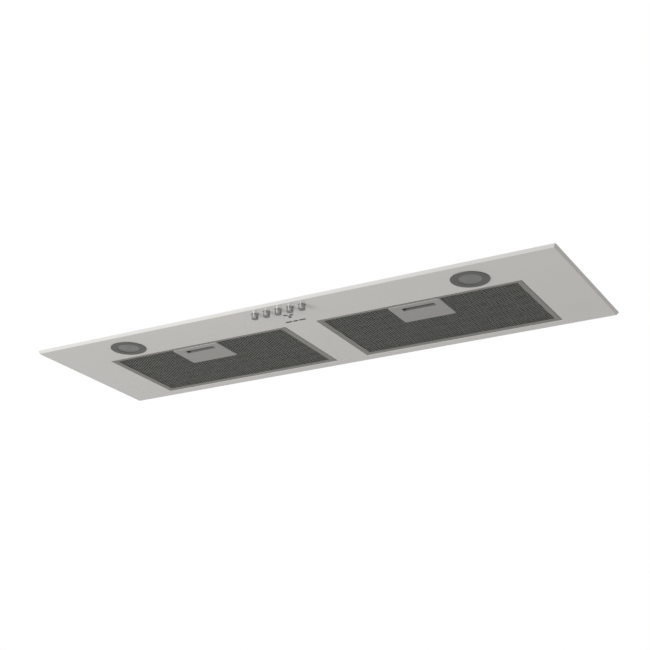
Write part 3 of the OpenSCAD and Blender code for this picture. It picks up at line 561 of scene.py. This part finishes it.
def make_weave(name, side, z, pitch, angle, thick, material, replaces=()):
    """Two crossing families of strands, each passing over and under the other, with room for the latch."""
    lo, hi = box("filter_mesh_" + side)
    area = grow((lo.x, hi.x, lo.y, hi.y), -1 * MM)
    plate_lo, plate_hi = box("latch_plate_" + side)
    hole = (plate_lo.x + 4 * MM, plate_hi.x - 4 * MM, plate_lo.y + 1 * MM, plate_hi.y - 4 * MM)
    mid = Vector(((area[0] + area[1]) / 2, (area[2] + area[3]) / 2, z))
    count = int(math.hypot(area[1] - area[0], area[3] - area[2]) / 2 / pitch)
    cross = pitch / math.sin(2 * math.radians(angle))      # between crossings, along a strand
    bm = bmesh.new()
    for family, sign in enumerate((1, -1)):
        a = math.radians(angle) * sign
        d = Vector((math.cos(a), math.sin(a), 0))
        n = Vector((-math.sin(a), math.cos(a), 0))
        for k in range(-count, count + 1):
            base = mid + n * (k * pitch)
            for t0, t1 in strand_spans(base, d, area, hole):
                first, last = math.ceil(t0 / cross - 0.01), math.floor(t1 / cross + 0.01)
                crossings = [i * cross for i in range(first, last + 1) if t0 < i * cross < t1]
                points = []
                for t in [t0] + crossings + [t1]:
                    over = (round(t / cross) + k + family) % 2
                    points.append(base + d * t + Vector((0, 0, WAVE if over else -WAVE)))
                add_strand(bm, points, *thick)
    new_object(name, mesh_from(name, bm), "filter_" + side, material, replaces)


# ---- Latches ----------------------------------------------------------------------------

WINDOW_X = 25.5 * MM        # half the width of the finger window
WINDOW_DX = 2.0 * MM        # how far it sits to the right of the latch's middle
WINDOW_Y0 = 10.0 * MM       # its front and rear edges, from the front of the latch
WINDOW_Y1 = 21.6 * MM
PLATE_EDGE = 3.0 * MM       # how much smaller the cover is than the CAD plate
COVER_DEEP = 3.1 * MM
# rounded edge of the cover: inset, height and corner radius in mm
COVER_EDGE = ((0, 3.1, 1.0), (0, 1.3, 2.2), (0.12, 0.7, 2.6), (0.45, 0.28, 3.0), (0.95, 0.06, 3.3),
              (1.5, 0, 3.4))
# rim of the window, pressed in: sharp at the front, wide and soft at the rear.
# Outset at the front and sides, outset at the rear, height and corner radius in mm
WINDOW_RIM = ((0.8, 3.4, 0.0, 3.0), (0.5, 2.1, 0.12, 2.6), (0.25, 1.0, 0.36, 2.2), (0.05, 0.25, 0.66, 1.8),
              (0, 0, 1.0, 1.6))


def latch_place(side):
    """Edges of the cover, edges of the finger window, and the latch's lowest and highest heights."""
    lo, hi = box("latch_plate_" + side)
    eye = (lo.x + hi.x) / 2 + WINDOW_DX
    cover = (lo.x + PLATE_EDGE, hi.x - PLATE_EDGE, lo.y, hi.y - PLATE_EDGE)
    window = (eye - WINDOW_X, eye + WINDOW_X, lo.y + WINDOW_Y0, lo.y + WINDOW_Y1)
    return cover, window, lo.z, hi.z


def make_latch_cover(side, material):
    """Front plate of the latch with rounded edges, and the pressed finger window."""
    cover, window, low, _ = latch_place(side)
    bm = bmesh.new()
    outside = add_loft(bm, [rect_loop(*grow(cover, -inset * MM), r * MM, low + h * MM)
                            for inset, h, r in COVER_EDGE])
    rim = []
    for out, rear, h, r in WINDOW_RIM:
        x0, x1, y0, _ = grow(window, out * MM)
        rim.append(rect_loop(x0, x1, y0, window[3] + rear * MM, r * MM, low + h * MM))
    rim = add_loft(bm, rim)
    fill_between(bm, [outside[-1], rim[0]])
    inside = add_loft(bm, [rect_loop(*grow(cover, -MM), MM, z) for z in (low + MM, low + COVER_DEEP)])
    fill_between(bm, [inside[0], rim[-1]])
    fill_between(bm, [outside[0], inside[-1]])
    make_piece("latch_cover_" + side, bm, "filter_" + side, material,
               ("latch_plate_" + side,), angle=40)


def make_latch_well(side, material):
    """Closed pressing behind the cover, with the well for the fingertip."""
    cover, (x0, x1, y0, y1), low, top = latch_place(side)
    well = (x0, x1, y0, y1 + 6 * MM)
    back = low + COVER_DEEP
    wall = 0.8 * MM
    bm = bmesh.new()
    outer = add_loft(bm, [rect_loop(*grow(well, wall), 2 * MM, back + wall),
                          rect_loop(*grow(well, wall), 2 * MM, top - 0.6 * MM),
                          rect_loop(*well, 1.6 * MM, top)])
    bm.faces.new(outer[-1])
    inner = add_loft(bm, [rect_loop(*well, 1.4 * MM, back),
                          rect_loop(*well, 1.4 * MM, top - wall - 0.4 * MM),
                          rect_loop(*grow(well, -0.5 * MM), 1.0 * MM, top - wall)])
    bm.faces.new(inner[-1])
    edge = add_loft(bm, [rect_loop(*cover, 1.0 * MM, z) for z in (back, back + wall)])
    fill_between(bm, [edge[0], inner[0]])
    fill_between(bm, [edge[1], outer[0]])
    make_piece("latch_well_" + side, bm, "filter_" + side, material, angle=32)


def make_latch_slider(side, material):
    """Sliding plate: a frame round the window, the bolt, the spring's tab, and the fingertip's lip."""
    lo, hi = box("latch_slider_" + side)
    front_y = box("latch_plate_" + side)[0].y
    mid = (lo.x + hi.x) / 2
    eye = mid + WINDOW_DX
    low, high = lo.z, lo.z + 1.2 * MM
    overlap = 0.02 * MM
    lip_y = front_y + WINDOW_Y0 + 9.5 * MM
    cut_y = front_y + WINDOW_Y0 - 6.2 * MM
    plate = (mid - 30 * MM, mid + 30 * MM, front_y + 1.3 * MM, hi.y)
    gap = (eye - WINDOW_X, eye + WINDOW_X, cut_y, lip_y)
    bm = bmesh.new()
    outside = add_loft(bm, [rect_loop(*plate, 1.5 * MM, z) for z in (low, high)])
    inside = add_loft(bm, [rect_loop(*gap, 1.0 * MM, z) for z in (low, high)])
    fill_between(bm, [outside[0], inside[0]])
    fill_between(bm, [outside[1], inside[1]])
    bolt = (mid - 10 * MM, mid + 10 * MM, lo.y, cut_y - 0.1 * MM)
    add_slab(bm, bolt, 1.5 * MM, high - overlap, high + 1.3 * MM)
    tab = (mid - 3 * MM, mid + 3 * MM, hi.y - 1.2 * MM, hi.y)
    add_slab(bm, tab, 0.4 * MM, high - overlap, hi.z - 0.5 * MM)
    # section of the lip: a rounded fold that rises behind the window
    fold = ((0.02, low + 0.3 * MM), (0, high), (0, hi.z - 0.5 * MM), (0.3, hi.z - 0.1 * MM), (0.6, hi.z),
            (0.9, hi.z - 0.1 * MM), (1.2, hi.z - 0.5 * MM), (1.2, high), (1.2, low + 0.3 * MM))
    half = WINDOW_X - 0.4 * MM
    add_loft(bm, [[(x, lip_y + y * MM, z) for y, z in fold] for x in (eye - half, eye + half)], caps=True)
    make_piece("latch_slide_" + side, bm, "latch_" + side, material,
               ("latch_slider_" + side,), angle=32)


# ---- Lamps ------------------------------------------------------------------------------

def make_lamp(side, ring_material, lens_material):
    """Bezel ring with a rounded rim and a stepped throat, and a frosted lens with pressed rings."""
    lo, hi = box("lamp_bezel_" + side)
    lens_lo, lens_hi = box("lamp_lens_" + side)
    middle = (*LAMPS[side].xy, 0)
    out = (hi.x - lo.x) / 2
    eye = (lens_hi.x - lens_lo.x) / 2
    seat = FACE_Z - 0.02 * MM
    neck = out - 3.2 * MM
    z = lo.z
    ring = [(out, seat), (out, z + 0.45 * MM), (out - 0.12 * MM, z + 0.2 * MM),
            (out - 0.4 * MM, z + 0.04 * MM), (out - 0.8 * MM, z), (eye + 2.0 * MM, z + 0.1 * MM),
            (eye + 1.3 * MM, z + 0.15 * MM), (eye + 0.75 * MM, z + 0.4 * MM), (eye + 0.35 * MM, z + 0.7 * MM),
            (eye + 0.08 * MM, z + 0.95 * MM), (eye + 0.08 * MM, hi.z), (neck, hi.z), (neck, seat), (out, seat)]
    bm = lathe(ring, middle)
    bmesh.ops.remove_doubles(bm, verts=bm.verts, dist=1e-6)
    make_piece("lamp_ring_" + side, bm, "hood", ring_material, ("lamp_bezel_" + side,), angle=30)
    low, high = lens_lo.z, lens_hi.z
    lens = [(0, high), (eye - 0.3 * MM, high), (eye, high - 0.3 * MM), (eye, low + 0.2 * MM),
            (eye - 0.12 * MM, low + 0.05 * MM), (eye - 0.5 * MM, low), (eye - 1.6 * MM, low + 0.1 * MM),
            (eye - 2.1 * MM, low + 0.45 * MM)]
    rings = 10
    inner = eye - 2.3 * MM
    for i in range(rings):
        r = inner * (1 - i / rings)
        lens += [(r, low + 0.5 * MM), (r - inner / rings * 0.5, low + 0.32 * MM)]
    lens.append((0, low + 0.45 * MM))
    make_piece("lamp_glass_" + side, lathe(lens, middle), "hood", lens_material,
               ("lamp_lens_" + side,), angle=50)


# ---- Buttons and springs ----------------------------------------------------------------

def make_button(i, material, end_reflection_material):
    """Turned cap with a dished end, a collar that stops it, and the stem that carries the spring."""
    node = "button_%d" % i
    lo, hi = box(node)
    x, y = BUTTONS[i - 1].xy
    tip = lo.z
    r = 5.0 * MM
    collar, stem = r * 1.16, r * 0.36
    profile = [(0, tip + 0.5 * MM), (r * 0.45, tip + 0.42 * MM), (r * 0.72, tip + 0.2 * MM), (r * 0.84, tip),
               (r * 0.93, tip + 0.06 * MM), (r * 0.985, tip + 0.3 * MM), (r, tip + 0.7 * MM),
               (r, tip + 9.6 * MM), (r * 0.97, tip + 9.8 * MM), (r * 0.97, tip + 10.4 * MM),
               (collar, tip + 10.4 * MM), (collar, tip + 11.6 * MM), (stem, tip + 11.6 * MM), (stem, hi.z),
               (0, hi.z)]
    bm = lathe(profile, (x, y, 0), steps=64)
    cap = make_piece("button_cap_%d" % i, bm, node, material, (node,), angle=30)
    # The dished end gets a dark copy of the chrome: a painted dark reflection on the tip.
    cap.data.materials.append(end_reflection_material)
    for poly in cap.data.polygons:
        if poly.center.z < tip + 0.55 * MM:
            poly.material_index = 1


def make_spring(node, axis, wire, turns, material):
    """Round wire spring that fills the node's box."""
    lo, hi = box(node)
    mid = (lo + hi) / 2
    along = "XYZ".index(axis)
    a, b = [k for k in range(3) if k != along]
    radius = (hi[a] - lo[a]) / 2 - wire
    start, end = lo[along] + wire, hi[along] - wire
    flat = 0.14             # the closed turns' share of the pitch
    count = turns * 20
    points = []
    for i in range(count + 1):
        t = i / count
        rise = max(0.0, min(1.0, (t * turns - 1) / (turns - 2)))
        p = mid.copy()
        p[along] = start + (end - start) * (rise * (1 - flat) + t * flat)
        p[a] = mid[a] + radius * math.cos(2 * math.pi * turns * t)
        p[b] = mid[b] + radius * math.sin(2 * math.pi * turns * t)
        points.append(p)
    bm = bmesh.new()
    add_tube(bm, points, wire)
    mesh = mesh_from(node, bm, smooth=True)
    coil = new_object(node + "_coil", mesh, None, material, (node,))
    low, high = mid.copy(), mid.copy()
    low[along], high[along] = lo[along], hi[along]
    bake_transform(coil)


# ---- Printed mark -----------------------------------------------------------------------

def make_print(material):
    """A plain fan sign of three blades, and three short bars behind it."""
    sign_x, sign_y = 1.0 * MM, PANEL_LO.y + 48.5 * MM
    outlines = []
    for k in range(3):
        blade = []
        for i in range(13):
            t = i / 12
            r = 1.6 * MM + 7.4 * MM * math.sin(math.pi * t) ** 0.8
            a = math.radians(90 + 120 * k) + (t - 0.35) * 1.35
            blade.append((sign_x + r * math.cos(a), sign_y + r * math.sin(a)))
        outlines.append(blade)
    y0, y1 = PANEL_LO.y + 68.3 * MM, PANEL_LO.y + 72.7 * MM
    for left, right in ((-17, -6), (-4, 4), (6, 17)):
        x0, x1 = left * MM, right * MM
        outlines.append([(x0, y0), (x1, y0), (x1, y1), (x0, y1)])
    bm = bmesh.new()
    for outline in outlines:
        heights = (FACE_Z - 0.05 * MM, FACE_Z + 0.05 * MM)
        add_loft(bm, [[(x, y, z) for x, y in outline] for z in heights], caps=True)
    make_piece("panel_print", bm, "hood", material)


# ---- Details of the sheet-metal body ----------------------------------------------------

TALL_X = 330 * MM           # half the width of the cover's tall middle
RAKE = 0.47                 # rise of its roof towards the rear
ROOF_FLAT_Y = 112 * MM      # where the rake ends
BEAD_HALF = 6.0 * MM
BEAD_RISE = 1.0 * MM
# section of a bead: share of the half width, share of the rise
BEAD = ((0, -0.3), (0, 0.0), (0.16, 0.3), (0.34, 0.62), (0.55, 0.86), (0.8, 1.0))


def close_ends(bm, rows):
    """Fills the first and the last row of a loft."""
    fill_between(bm, [rows[0]])
    fill_between(bm, [rows[-1]])


def add_bead(bm, x0, x1, y, roof, slope=0.0):
    """Long pressed bead with round ends on a roof plane that rises towards the rear by slope."""
    loops = []
    for share, up in BEAD:
        r = BEAD_HALF * (1 - share)
        flat = rect_loop(x0 + BEAD_HALF - r, x1 - BEAD_HALF + r, y - r, y + r, r * 0.999, 0, steps=8)
        loops.append([(px, py, roof + (py - y) * slope + up * BEAD_RISE) for px, py, _ in flat])
    close_ends(bm, add_loft(bm, loops))


def make_beads(material):
    """Stiffening beads on the top cover: across the raked roof, and across both low wings."""
    top = box("top_cover")[1]
    points = [v.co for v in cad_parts["top_cover"].data.vertices]
    wing_z = max(p.z for p in points if abs(p.x) > TALL_X + 20 * MM)
    bm = bmesh.new()
    for y in (-25 * MM, 25 * MM, 75 * MM):
        add_bead(bm, 60 * MM - TALL_X, TALL_X - 60 * MM, y, top.z - (ROOF_FLAT_Y - y) * RAKE, RAKE)
    x0, x1 = TALL_X + 12 * MM, top.x - 12 * MM
    for left, right in ((-x1, -x0), (x0, x1)):
        for y in (-50 * MM, 20 * MM, 90 * MM):
            add_bead(bm, left, right, y, wing_z)
    make_piece("cover_beads", bm, "hood", material, angle=40)


def make_rating_plate(material):
    """Blank plate with a raised border and two rivets, on the rear wall beside the duct collar."""
    wall = box("top_cover")[1].y
    x0, x1, z0, z1 = plate = (235 * MM, 315 * MM, 45 * MM, 95 * MM)
    loops = []
    for inset, out, r in ((0, -0.1, 3), (0, 0.45, 3), (0.3, 0.6, 2.8), (1.6, 0.6, 2), (1.9, 0.4, 1.8)):
        flat = rect_loop(*grow(plate, -inset * MM), r * MM, 0)
        loops.append([(x, wall + out * MM, z) for x, z, _ in flat])
    bm = bmesh.new()
    close_ends(bm, add_loft(bm, loops))
    make_piece("rating_plate", bm, "hood", material, angle=30)
    # radius and height in mm
    head = ((0, -0.2), (1.9, -0.2), (1.9, 0.5), (1.6, 0.95), (1.0, 1.25), (0, 1.35))
    for i, x in enumerate((x0 + 5 * MM, x1 - 5 * MM)):
        middle = (x, wall + 0.3 * MM, (z0 + z1) / 2)
        bm = lathe([(r * MM, h * MM) for r, h in head], middle, "Y", 24)
        make_piece("plate_rivet_%d" % (i + 1), bm, "hood", material, angle=50)


# ---- Finishes ---------------------------------------------------------------------------

def paint(node, material, width):
    """Gives a CAD node its material, and rounds its edges by a width in mm."""
    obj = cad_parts[node]
    obj.data.materials.clear()
    obj.data.materials.append(material)
    edge = obj.modifiers.new("bevel", "BEVEL")
    edge.width = width * MM
    edge.segments = 2
    edge.limit_method = "ANGLE"
    edge.angle_limit = math.radians(30)
    edge.harden_normals = True


PANEL = satin_steel("panel_satin", 0.395, warm=0.07, metallic=0.2)
# slightly darker copy of the panel steel for the leaning rim: painted shade
RIM_SHADE = satin_steel("panel_rim_painted_shade", 0.352, warm=0.07, metallic=0.2)
# much darker copy of the panel steel for the opening lips: painted shade
LIP_SHADE = satin_steel("panel_lip_painted_shade", 0.2, warm=0.07, metallic=0.2)
ZINC = galvanised("zinc_sheet", 0.36)
ZINC_DARK = galvanised("zinc_dark", 0.3)
MOTOR = turned_metal("motor_steel", 0.45)
CORE = turned_metal("laminations", 0.25, rough=(0.35, 0.5), scratch=1500)
BLACK = moulded("black_moulding", (0.02, 0.02, 0.021))
FAN = moulded("fan_moulding", (0.035, 0.036, 0.038), grain=500)
RUBBER = moulded("rubber", (0.028, 0.027, 0.026), rough=(0.65, 0.8), specular=0.25)
WHITE = moulded("white_moulding", (0.62, 0.61, 0.58))
DAMPER = turned_metal("damper_sheet", 0.4, metallic=0.7, rough=(0.35, 0.45), scratch=300)
CHROME = turned_metal("button_chrome", 0.42, metallic=1.0, rough=(0.16, 0.26), scratch=900)
# dark copy of the chrome for the buttons' dished ends: a painted dark reflection
CHROME_END_REFLECTION = turned_metal("button_end", 0.16, rough=(0.25, 0.35), scratch=900)
SPRING = turned_metal("spring_wire", 0.4, rough=(0.2, 0.3))
RING = turned_metal("lamp_ring_paint", 0.048, metallic=0.25, rough=(0.42, 0.5), warm=0.13, green=0.06)
GLASS = moulded("frosted_glass", (0.086, 0.09, 0.082), rough=(0.3, 0.42), grain=1400, strength=0.2)
LAMP_CAN = turned_metal("lamp_can_metal", 0.6, metallic=0.85, rough=(0.3, 0.4))
CHANNEL = satin_steel("filter_channel_steel", 0.15, warm=0.13, metallic=0.6, brush=(8, 8, 8),
                      rough=(0.34, 0.44))
MESH = turned_metal("mesh_metal", 0.107, metallic=0.5, rough=(0.38, 0.5), warm=0.1, green=0.05)
# near-black copy of the mesh metal for the filter's layers and inner weave: painted shade deep inside the filter
LAYERS_SHADE = turned_metal("mesh_layers_painted_shade", 0.022, metallic=0.3, rough=(0.5, 0.65), warm=0.1, green=0.05)
LATCH = satin_steel("latch_paint", 0.202, warm=0.085, metallic=0.3)
# darker copy of the latch paint for the well and the slider: painted shade inside the finger window
LATCH_SHADE = satin_steel("latch_inside_painted_shade", 0.125, warm=0.08, metallic=0.3)
INK = moulded("printed_ink", (0.03, 0.03, 0.03), rough=(0.5, 0.6))

make_panel(PANEL, LIP_SHADE, RIM_SHADE)
for side in SIDES:
    mesh_lo, mesh_hi = box("filter_mesh_" + side)
    make_filter_frame(side, CHANNEL)
    make_weave("filter_weave_" + side, side, (mesh_lo.z + mesh_hi.z) / 2, 3.93 * MM, 38.5,
               (0.6 * MM, 0.28 * MM), MESH, ("filter_mesh_" + side,))
    make_weave("filter_weave_inner_" + side, side, mesh_hi.z + 1.3 * MM, 3.1 * MM, 52,
               (0.5 * MM, 0.25 * MM), LAYERS_SHADE)
    make_latch_cover(side, LATCH)
    make_latch_well(side, LATCH_SHADE)
    make_latch_slider(side, LATCH_SHADE)
    make_spring("latch_spring_" + side, "Y", 0.35 * MM, 10, SPRING)
    make_lamp(side, RING, GLASS)
    paint("lamp_can_" + side, LAMP_CAN, 0.8)
    paint("lamp_bulb_" + side, WHITE, 0.4)
    paint("filter_layers_" + side, LAYERS_SHADE, 0.1)
    paint("scroll_" + side, ZINC, 0.25)
    paint("impeller_" + side, FAN, 0.15)
    paint("motor_end_" + side, ZINC, 0.6)
for number in range(1, 6):
    make_button(number, CHROME, CHROME_END_REFLECTION)
    make_spring("button_spring_%d" % number, "Z", 0.18 * MM, 5, SPRING)
make_print(INK)
make_beads(ZINC)
make_rating_plate(DAMPER)
for node, material, width in (
        ("chassis", ZINC, 0.25), ("top_cover", ZINC, 0.25), ("front_partition", ZINC, 0.2),
        ("motor_can", MOTOR, 0.8), ("stator", CORE, 0.25), ("rotor_core", CORE, 0.4),
        ("motor_shaft", MOTOR, 0.3), ("bearings", MOTOR, 0.3), ("motor_bracket", ZINC_DARK, 0.3),
        ("rubber_mounts", RUBBER, 0.3), ("duct_collar", BLACK, 0.4), ("damper_flap", DAMPER, 0.2),
        ("damper_pin", MOTOR, 0.2), ("capacitor", WHITE, 1.0), ("capacitor_clip", ZINC_DARK, 0.2),
        ("terminal_box", ZINC, 0.25), ("terminal_cover", ZINC, 0.3), ("cable_gland", BLACK, 0.3),
        ("button_guide", BLACK, 0.3), ("switch_housing", WHITE, 0.6), ("filter_sockets", BLACK, 0.3),
        ("body_screws", MOTOR, 0.25), ("wiring_harness", RUBBER, 0.15)):
    paint(node, material, width)


# ---- Studio -----------------------------------------------------------------------------

def look(obj, at, roll=0.0):
    """Turns an object's -Z axis to a point, with its top up, then rolls it."""
    forward = (Vector(at) - obj.location).normalized()
    right = forward.cross(Vector((0, 0, 1))).normalized()
    up = right.cross(forward)
    side = right * math.cos(roll) + up * math.sin(roll)
    top = up * math.cos(roll) - right * math.sin(roll)
    obj.rotation_euler = Matrix((side, top, -forward)).transposed().to_euler()


def make_floor():
    """Wide pale floor, far enough below to leave room for a view from underneath."""
    half_size, floor_z = 40, -2.6
    m = Nodes("floor_pale", roughness=0.7)
    m.colour(m.noise(2.5, m.place(), 2), 0.3, grey(0.79), 0.7, grey(0.82))
    bm = bmesh.new()
    bmesh.ops.create_grid(bm, x_segments=1, y_segments=1, size=half_size,
                          matrix=Matrix.Translation((0, 0, floor_z)))
    new_object("floor", mesh_from("floor", bm), None, m.mat)


def make_lights():
    """White surroundings, and one soft light from below on the left."""
    world = bpy.data.worlds.new("studio")
    world.use_nodes = True
    back = world.node_tree.nodes["Background"]
    back.inputs["Color"].default_value = (1, 1, 1, 1)
    back.inputs["Strength"].default_value = 1.0
    bpy.context.scene.world = world
    light = bpy.data.lights.new("front_soft", "AREA")
    light.shape = "RECTANGLE"
    light.size, light.size_y = 1.5, 0.8
    light.energy = 57
    obj = bpy.data.objects.new("front_soft", light)
    obj.location = (-0.95, -1.98, -0.7)
    look(obj, (0, 0, 0))
    obj.visible_camera = False
    bpy.context.scene.collection.objects.link(obj)


def make_camera():
    """Camera at the photograph's viewing angle: below, in front and to the right."""
    yaw, pitch, roll = math.radians(-28.697), math.radians(21.414), math.radians(0.216)
    camera = bpy.data.objects.new("camera", bpy.data.cameras.new("camera"))
    camera.data.lens = 75.096
    camera.data.sensor_width = 36
    camera.data.clip_end = 50
    camera.location = (0.937, -1.6883, -0.7451)
    ahead = Vector((math.sin(yaw) * math.cos(pitch), math.cos(yaw) * math.cos(pitch), math.sin(pitch)))
    look(camera, camera.location + ahead, roll)
    bpy.context.scene.collection.objects.link(camera)
    bpy.context.scene.camera = camera


make_floor()
make_lights()
make_camera()
bpy.context.scene.view_settings.view_transform = "Standard"
